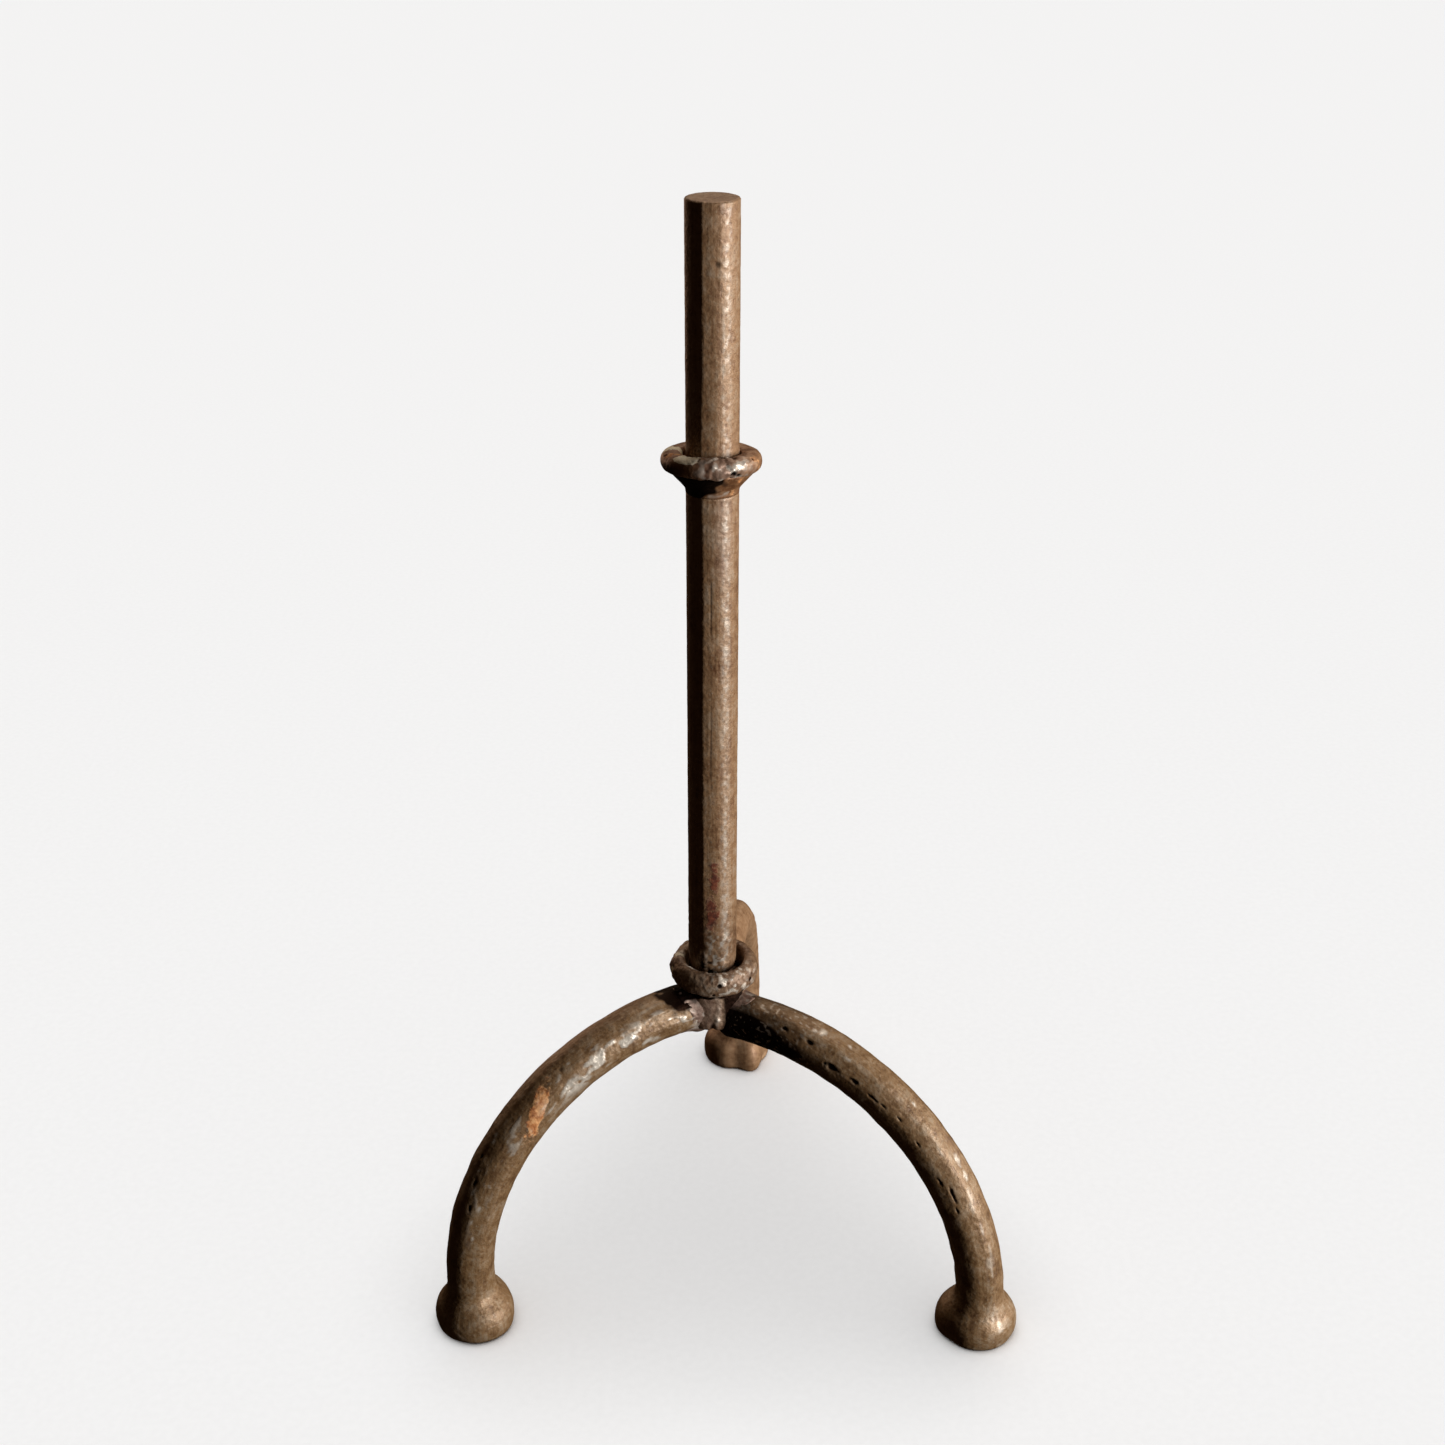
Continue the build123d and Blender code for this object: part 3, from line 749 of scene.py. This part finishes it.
def make_band_scar():
    """The low lump on the left where the band's ends were closed."""
    lo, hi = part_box("ring_weld")
    centre = np.array([lo.x + SCAR_HALF[0] * MM, (lo.y + hi.y) / 2 - 0.6 * MM, (lo.z + hi.z) / 2 - 0.2 * MM])
    u = np.radians(np.linspace(-88, 88, 50))[:, None]
    v = np.linspace(0, 2 * np.pi, 64, endpoint=False)[None, :]
    unit = np.stack([np.cos(u) * np.sin(v), -np.cos(u) * np.cos(v), np.sin(u) + 0 * v], -1)
    grid = centre + unit * SCAR_HALF * MM
    height = 0.40 * MM * fractal(grid, 2.6 * MM, 3, 131)
    fields = blank_fields(grid)
    spot = np.linalg.norm(unit - SCAR_PAINT, axis=-1)
    fields["paint"] = bump(spot, 0, 0.75)
    return finish_piece("band_scar", grid, False, height, fields, "base", "weld_metal", "ring_weld")


# ---- legs and feet
def leg_frame(name):
    """Outward and sideways directions and reach of a leg, from where its foot rests."""
    rest = mounts[f"foot_{name}_rest"]["pos_m"]
    reach = math.hypot(rest[0], rest[1])
    out = np.array([rest[0] / reach, rest[1] / reach, 0.0])
    return out, np.array([-out[1], out[0], 0.0]), reach


def leg_crown(name):
    """Height of a leg's centre line where it leaves the hub."""
    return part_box(f"leg_{name}")[1].z - BAR_R


# radius and height of a foot in mm, from the bar down to the floor
FOOT_SHAPE = [(8.0, 19.0), (8.0, 16.5), (8.5, 14.0), (10.2, 11.2), (12.0, 8.8), (12.9, 6.2), (13.1, 3.8),
              (12.9, 1.8), (12.2, 0.5), (11.0, 0.02)]
# corners of each leg's section, in degrees from its crest
LEG_CORNERS = {
    "front_left": [8, 47, 84, 118, 160, 200, 241, 283, 322],
    "front_right": [15, 60, 97, 140, 178, 214, 251, 290, 330],
    "rear": [20, 66, 108, 150, 195, 240, 285, 330],
}
# swellings of each foot: degrees round it, mm, degrees to either side
LOBES = {
    "front_left": ((125, 1.2, 80), (225, 1.0, 60), (10, -0.8, 70)),
    "front_right": ((110, 1.0, 70), (205, 1.3, 55), (330, -0.8, 70)),
    "rear": ((132, 2.1, 86), (206, 2.8, 34), (182, -0.5, 26), (262, -2.0, 62)),
}


def make_leg(name, seed):
    """Grid of a leg from inside the hub to the floor, its foot hammered out of the same bar."""
    out, side, reach = leg_frame(name)
    bend, crown = BEND_R[name], leg_crown(name)
    turn = [(reach - bend + bend * math.sin(a), crown - bend + bend * math.cos(a))
            for a in np.linspace(0, math.pi / 2, 90)]
    route = resample([(LEG_INNER, crown), *turn], CELL)
    foot = resample(rounded(np.array(FOOT_SHAPE) * MM), CELL)
    on_bend = np.interp(route[:, 1], foot[::-1, 1], foot[::-1, 0])
    foot = foot[foot[:, 1] < crown - bend - CELL / 2]
    centre = np.vstack([route, np.stack([np.full(len(foot), reach), foot[:, 1]], -1)])
    radius = np.concatenate([on_bend, foot[:, 0]])
    tangent = np.gradient(route, axis=0)
    tangent /= np.linalg.norm(tangent, axis=1, keepdims=True)
    tangent = np.vstack([tangent, np.tile((0.0, -1.0), (len(foot), 1))])
    middle = centre[:, :1] * out + centre[:, 1:] * UP
    crest = -tangent[:, 1:] * out + tangent[:, :1] * UP
    theta = np.linspace(0, 2 * np.pi, AROUND, endpoint=False)
    ring = np.cos(theta)[None, :, None] * crest[:, None, :] + np.sin(theta)[None, :, None] * side
    grid = middle[:, None, :] + radius[:, None, None] * ring
    steps = np.hypot(np.linalg.norm(np.diff(centre, axis=0), axis=1), np.diff(radius))
    s = np.concatenate([[0], np.cumsum(steps)])[:, None]
    angle = np.broadcast_to(theta, grid.shape[:2])
    around = np.minimum(radius, 1.2 * BAR_R)[:, None]
    unbent = np.stack([around * np.cos(angle), around * np.sin(angle), s + 0 * angle], -1)
    flat_share = smooth(grid[..., 2], 8 * MM, 20 * MM)
    drift = np.radians(5) * noise(height_only(unbent), 32 * MM, seed)
    height = -0.42 * BAR_R * flats(angle + drift, LEG_CORNERS[name], 0.12) * flat_share
    height += skin(unbent, seed, hammer=0.15, scale=0.06)
    height += 0.20 * MM * noise(height_only(unbent), 22 * MM, seed + 2)
    height += 0.18 * MM * fractal(unbent, 6 * MM, 2, seed + 4)
    spread = smooth(radius, BAR_R, 12.5 * MM)[:, None]
    for place, swell, half in LOBES[name]:
        height += swell * near_angle(angle, place, half) * MM * spread
    height = height * smooth(grid[..., 2], FLOOR_GAP, 1.2 * MM)
    return grid, angle, unbent, height, blank_fields(unbent)


def spots(unbent, angle, marks):
    """Depth from 0 to 1 of single pits or chips: mm from the hub, degrees, length and width in mm."""
    total = np.zeros(angle.shape)
    for place, degrees, length, width in marks:
        away = arc_length(signed_degrees(angle - math.radians(degrees)), BAR_R)
        along = unbent[..., 2] - place * MM
        wobble = 1 + 0.5 * noise(unbent, 0.9 * MM, int(place * 7))
        total = np.maximum(total, bump(np.hypot(along / length, away / width) * wobble, 0, 0.6 * MM))
    return total


# marks of the front legs: mm from the hub, degrees round the leg, length and width in mm
LEFT_CHIPS = ((76, 12, 2, 1.2), (78, 17, 1.5, 1), (95, 30, 3, 1), (99, 58, 2.4, 1.2), (104, 50, 1.6, 1),
              (88, 20, 1.2, 1), (46, 30, 1.4, 1), (110, 62, 2, 1))
LEFT_HOLES = ((92, 24, 4, 1.6), (84, 8, 2, 1.4), (100, 36, 3, 1.2))
RIGHT_HOLES = ((21, 314, 2.6, 2.0), (30, 311, 3.4, 2.2), (40, 287, 6.0, 2.2), (48, 292, 4.4, 1.3),
               (56, 289, 5.0, 0.8), (60, 293, 2.4, 0.7), (66, 298, 2.6, 0.6), (76, 293, 2.2, 0.6),
               (90, 284, 4.0, 0.9), (96, 296, 7.0, 1.1), (101, 290, 2.8, 0.7))
RIGHT_CHIPS = ((32, 348, 3.0, 3.4), (30, 343, 2.0, 2.0), (41, 356, 2.0, 1.4), (43, 324, 2.4, 1.2),
               (87, 352, 5.0, 2.6), (93, 348, 4.0, 2.2), (66, 350, 2.4, 1.2))


def make_front_left_leg():
    grid, angle, unbent, height, fields = make_leg("front_left", 151)
    s = unbent[..., 2]
    # a bright strip on the front of the level part, partly chipped and partly a painted highlight, painted
    # highlight flecks on the front, and a rust patch half way down
    strip = near_angle(angle, 80, 38) * (1 - smooth(s, 30 * MM, 70 * MM))
    arc = angle * BAR_R
    slant = np.stack([s + 0.25 * arc, 0.25 * s - arc, 0 * s], -1)
    slant = slant + 2.0 * MM * noise(unbent, 5 * MM, 156)[..., None]
    strokes = fractal(slant, (4.6 * MM, 1.6 * MM, 1.0), 3, 157)
    patches = fractal(unbent, 5.0 * MM, 3, 158)
    chips = smooth(0.55 * strokes + 0.85 * patches, -0.06, 0.20)
    flecks = smooth(strokes, 0.12, 0.40) * near_angle(angle, 55, 50) * (1 - smooth(s, 70 * MM, 125 * MM))
    fields["bare_and_highlight"] = np.clip(strip * chips * 2.1 + 0.72 * flecks, 0, 1)
    height += 0.26 * MM * strip * (chips - 0.5) + 0.10 * MM * flecks
    lean = angle - math.radians(3.3) * (s - 63 * MM) / MM
    rust = near_angle(lean, 60, 36) * bump(s, 63 * MM, 14 * MM)
    fields["rust"] = np.clip(rust * 1.15, 0, 1)
    height -= 0.20 * MM * rust * smooth(fractal(unbent, 3 * MM, 2, 161), -0.2, 0.4)
    fields["bare_and_highlight"] = np.maximum(fields["bare_and_highlight"], spots(unbent, angle, LEFT_CHIPS))
    holes = np.maximum(pits(unbent, 4.4 * MM, 0.14, 163) * near_angle(angle, 15, 60),
                       spots(unbent, angle, LEFT_HOLES))
    # painted shadow of the band on the top of the leg at its root
    root = 1 - smooth(s + 2.0 * MM * noise(unbent, 2.2 * MM, 165), 8 * MM, 14 * MM)
    root = root * np.clip(1.6 * near_angle(angle, 10, 80), 0, 1)
    fields["pit_and_shade"] = np.maximum(0.9 * holes, root)
    fields["bare_and_highlight"] = fields["bare_and_highlight"] * (1 - root)
    height -= 0.45 * MM * holes
    return finish_piece("left_leg", grid, False, height, fields, "base", "leg_iron", "leg_front_left",
                        "foot_front_left")


def make_front_right_leg():
    grid, angle, unbent, height, fields = make_leg("front_right", 171)
    s = unbent[..., 2]
    # a row of long pits down the front, chips near the crest, painted shade from the root outwards with
    # painted glints in it, and a painted highlight strip on the upper front further out
    row = spots(unbent, angle, RIGHT_HOLES)
    torn = unbent + 0.7 * MM * noise(unbent, 1.6 * MM, 175)[..., None] * (1, 1, 2)
    small = pits(torn, (1.9 * MM, 1.9 * MM, 5.5 * MM), 0.30, 173) * near_angle(angle, 296, 20)
    small = small * smooth(noise(unbent, 12 * MM, 176), -0.2, 0.3)
    holes = np.maximum(row, 0.6 * small)
    fields["pit_and_shade"] = np.clip(holes * 1.2, 0, 1)
    height -= 0.65 * MM * holes
    chips = spots(unbent, angle, RIGHT_CHIPS)
    # painted highlight strip further out
    strip = near_angle(angle, 328, 18) * smooth(s, 50 * MM, 90 * MM)
    flecks = smooth(noise(unbent, (1.3 * MM, 1.3 * MM, 4 * MM), 177), 0.0, 0.6)
    ragged = s + 2.5 * MM * noise(unbent, 2.6 * MM, 178)
    low = near_angle(angle, 262, 62)
    root = 1 - smooth(ragged, 7 * MM + 2 * MM * low, 17 * MM + 36 * MM * low)
    root = root * np.clip(1.6 * near_angle(angle, 270, 76), 0, 1)
    # painted glints in the painted shade near the root
    glints = (1 - smooth(s, 14 * MM, 44 * MM)) * smooth(noise(unbent, 0.9 * MM, 179), 0.36, 0.62)
    shade = 0.34 * (1 - smooth(ragged, 14 * MM, 42 * MM))
    fields["pit_and_shade"] = np.maximum(np.maximum(fields["pit_and_shade"], shade), 0.95 * root * (1 - glints))
    fields["bare_and_highlight"] = np.clip(chips + 0.45 * strip * flecks + 0.6 * glints, 0, 1)
    height += 0.12 * MM * chips
    return finish_piece("right_leg", grid, False, height, fields, "base", "leg_iron", "leg_front_right",
                        "foot_front_right")


def make_rear_leg():
    grid, _, unbent, height, fields = make_leg("rear", 181)
    holes = pits(unbent, 5.0 * MM, 0.05, 183) * smooth(grid[..., 2], 24 * MM, 34 * MM)
    fields["pit_and_shade"] = 0.5 * holes
    height -= 0.25 * MM * holes
    return finish_piece("back_leg", grid, False, height, fields, "base", "leg_iron", "leg_rear", "foot_rear")


WELD_SINK = 2.6 * MM      # how far a root weld starts inside the hub
WELD_ROWS = 16            # of the outside, and as many again of the inside
WELD_AROUND = 160
# root welds: degrees round the leg where each is heaviest, size, where its painted shade lies, share of pink
WELDS = {"front_left": (90, 1.0, 6, 0.9), "front_right": (40, 0.7, 270, 0.0), "rear": (0, 0.9, 0, 0.0)}


def make_root_weld(name, seed):
    """Smooth uneven fillet of weld metal in the corner between a leg and the hub."""
    out, side, _ = leg_frame(name)
    theta = np.linspace(0, 2 * np.pi, WELD_AROUND, endpoint=False)[None, :]
    heavy, size, painted_shade_angle, pink = WELDS[name]
    share = near_angle(theta, heavy, 130) * size
    thick = (0.3 + 1.6 * share) * MM
    length = (1.6 + 2.6 * share) * MM
    start = np.sqrt(np.maximum(HUB_R ** 2 - ((BAR_R + thick) * np.sin(theta)) ** 2, 0)) - WELD_SINK
    t = np.linspace(0, 1, WELD_ROWS)[:, None]
    run = start + (length + WELD_SINK) * t
    outside_r = BAR_R + thick * (1 - t) ** 2.0 - 0.10 * MM
    inside_r = np.full(outside_r.shape, BAR_R - 1.2 * MM)
    x = np.vstack([run, run[::-1]])
    r = np.vstack([outside_r, inside_r])
    grid = (x[..., None] * out + (r * np.cos(theta))[..., None] * UP + (r * np.sin(theta))[..., None] * side
            + leg_crown(name) * UP)
    shown = np.zeros(grid.shape[:2])
    shown[1:WELD_ROWS] = 1
    ripples = 0.05 * MM * np.sin(theta * 30)
    height = (0.26 * MM * fractal(grid, 3.2 * MM, 3, seed) + ripples) * shown
    fields = blank_fields(grid)
    fields["pink"] = np.full(grid.shape[:2], pink)
    fields["bare_and_highlight"] = 0.5 * smooth(noise(grid, 1.8 * MM, seed + 3), 0.1, 0.6)
    # painted shade in patches on the weld, on the side given in WELDS
    painted_shade = np.clip(1.6 * near_angle(theta + 0 * x, painted_shade_angle, 74), 0, 1)
    fields["pit_and_shade"] = painted_shade * smooth(noise(grid, 2.4 * MM, seed + 5), -0.9, -0.3)
    fields["bare_and_highlight"] = fields["bare_and_highlight"] * (1 - painted_shade)
    return finish_piece(f"{name}_root_weld", grid, True, height, fields, "base", "weld_metal",
                        f"weld_{name}")


for piece, material in (
    (make_upper_bar(), BAR_IRON),
    (make_lower_bar(), BAR_IRON),
    (make_collar_cup(), COLLAR_IRON),
    (make_collar_rim(), COLLAR_IRON),
    (make_hub_neck(), HUB_IRON),
    (make_hub_band(), HUB_IRON),
    (make_band_scar(), WELD_METAL),
    (make_front_left_leg(), LEG_IRON),
    (make_front_right_leg(), LEG_IRON),
    (make_rear_leg(), BACK_PAINTED_LIGHT_IRON),
    (make_root_weld("front_left", 231), WELD_METAL),
    (make_root_weld("front_right", 233), WELD_METAL),
    (make_root_weld("rear", 239), WELD_METAL),
):
    piece.data.materials.append(material)

for name in ("column_stud", "stud_washer", "stud_nut", "upper_spigot"):
    node = frame["nodes"][name]
    for slot in node.material_slots:
        slot.material = INNER_STEEL
    if not node.material_slots:
        node.data.materials.append(INNER_STEEL)


# ---- studio
FLOOR_HALF = 30.0         # metres
FLOOR_Z = -0.0001
BACKDROP = (0.88, 0.88, 0.88, 1)
WARM_FILL = (1.0, 0.58, 0.32, 1)
FILL_STRENGTH = 0.017
# where the camera stands, in metres, how far it looks down, and its lens
CAMERA_PLACE = (0.0, -0.5349, 0.4667)
CAMERA_DOWN = 26.1
SENSOR_WIDTH, LENS = 36.0, 47.3
CAMERA_SHIFT = (0.0069, -0.0038)
# soft boxes: azimuth and elevation in degrees, metres away, width and height, watts, colour
SOFT_BOXES = {
    "key": (61, 7, 1.3, (0.20, 0.8), 24, (1.0, 0.965, 0.92)),
    "side": (106, 8, 1.5, (0.8, 1.0), 8, (1.0, 0.87, 0.72)),
    "back": (172, 55, 1.5, (0.8, 0.8), 8, (1.0, 0.86, 0.72)),
    "rim": (212, 4, 1.5, (0.8, 0.8), 3.0, (1.0, 0.66, 0.45)),
}


def make_floor():
    corners = [(-1, -1), (1, -1), (1, 1), (-1, 1)]
    mesh = bpy.data.meshes.new("floor")
    mesh.from_pydata([(x * FLOOR_HALF, y * FLOOR_HALF, FLOOR_Z) for x, y in corners], [], [(0, 1, 2, 3)])
    floor = new_object("floor", mesh)
    material, add = node_maker("floor_paper")
    coords = add("ShaderNodeTexCoord").outputs["Object"]
    grain = add("ShaderNodeTexNoise", {"Vector": coords, "Scale": 400.0})
    color = ramp(add, grain.outputs["Fac"], [(0.3, (0.86, 0.86, 0.86)), (0.7, (0.88, 0.88, 0.88))])
    shader = add("ShaderNodeBsdfDiffuse", {"Color": color})
    add("ShaderNodeOutputMaterial", {"Surface": shader.outputs["BSDF"]})
    mesh.materials.append(material)
    floor.visible_diffuse = False
    floor.visible_glossy = False
    return floor


def make_soft_box(name, target_z):
    """A soft box aimed at the column; azimuth 0 is the camera's side and 90 is the right."""
    azimuth, elevation, distance, size, power, color = SOFT_BOXES[name]
    data = bpy.data.lights.new(name, "AREA")
    data.shape = "RECTANGLE"
    data.size, data.size_y = size
    data.energy = power
    data.color = color
    light = new_object(name, data)
    a, e = math.radians(azimuth), math.radians(elevation)
    way = np.array([math.sin(a) * math.cos(e), -math.cos(a) * math.cos(e), math.sin(e)])
    light.location = way * distance + (0, 0, target_z)
    light.rotation_euler = (math.pi / 2 - e, 0, a)
    return light


def light_only(light, objects, state):
    """Links the light to those objects only (INCLUDE), or to all but them (EXCLUDE)."""
    group = bpy.data.collections.new(f"{light.name}_link")
    light.light_linking.receiver_collection = group
    for thing in objects:
        group.objects.link(thing)
    for entry in group.collection_objects:
        entry.light_linking.link_state = state


def make_camera():
    """Where the photograph was taken from: in front, above, looking down."""
    data = bpy.data.cameras.new("camera")
    data.sensor_width = SENSOR_WIDTH
    data.lens = LENS
    data.shift_x, data.shift_y = CAMERA_SHIFT
    camera = new_object("camera", data)
    camera.location = CAMERA_PLACE
    camera.rotation_euler = (math.radians(90 - CAMERA_DOWN), 0, 0)
    bpy.context.scene.camera = camera


def make_sky():
    """A wide soft sun from straight above, for the floor and the shadow on it."""
    data = bpy.data.lights.new("sky", "SUN")
    data.energy = 3.2
    data.angle = math.radians(80)
    return new_object("sky", data)


def make_world():
    """A faint warm fill for the stand, with a pale backdrop that only the camera sees."""
    world = bpy.data.worlds.new("world")
    world.use_nodes = True
    links, nodes = world.node_tree.links, world.node_tree.nodes
    background = nodes["Background"]
    background.inputs["Color"].default_value = WARM_FILL
    background.inputs["Strength"].default_value = FILL_STRENGTH
    backdrop = nodes.new("ShaderNodeBackground")
    backdrop.inputs["Color"].default_value = BACKDROP
    shown = nodes.new("ShaderNodeMixShader")
    links.new(nodes.new("ShaderNodeLightPath").outputs["Is Camera Ray"], shown.inputs[0])
    links.new(background.outputs[0], shown.inputs[1])
    links.new(backdrop.outputs[0], shown.inputs[2])
    links.new(shown.outputs[0], nodes["World Output"].inputs["Surface"])
    bpy.context.scene.world = world


make_camera()
floor = make_floor()
for name in SOFT_BOXES:
    light_only(make_soft_box(name, UPPER_HI / 2), [floor], "EXCLUDE")
light_only(make_sky(), [floor], "INCLUDE")
make_world()
bpy.context.scene.view_settings.view_transform = "Standard"
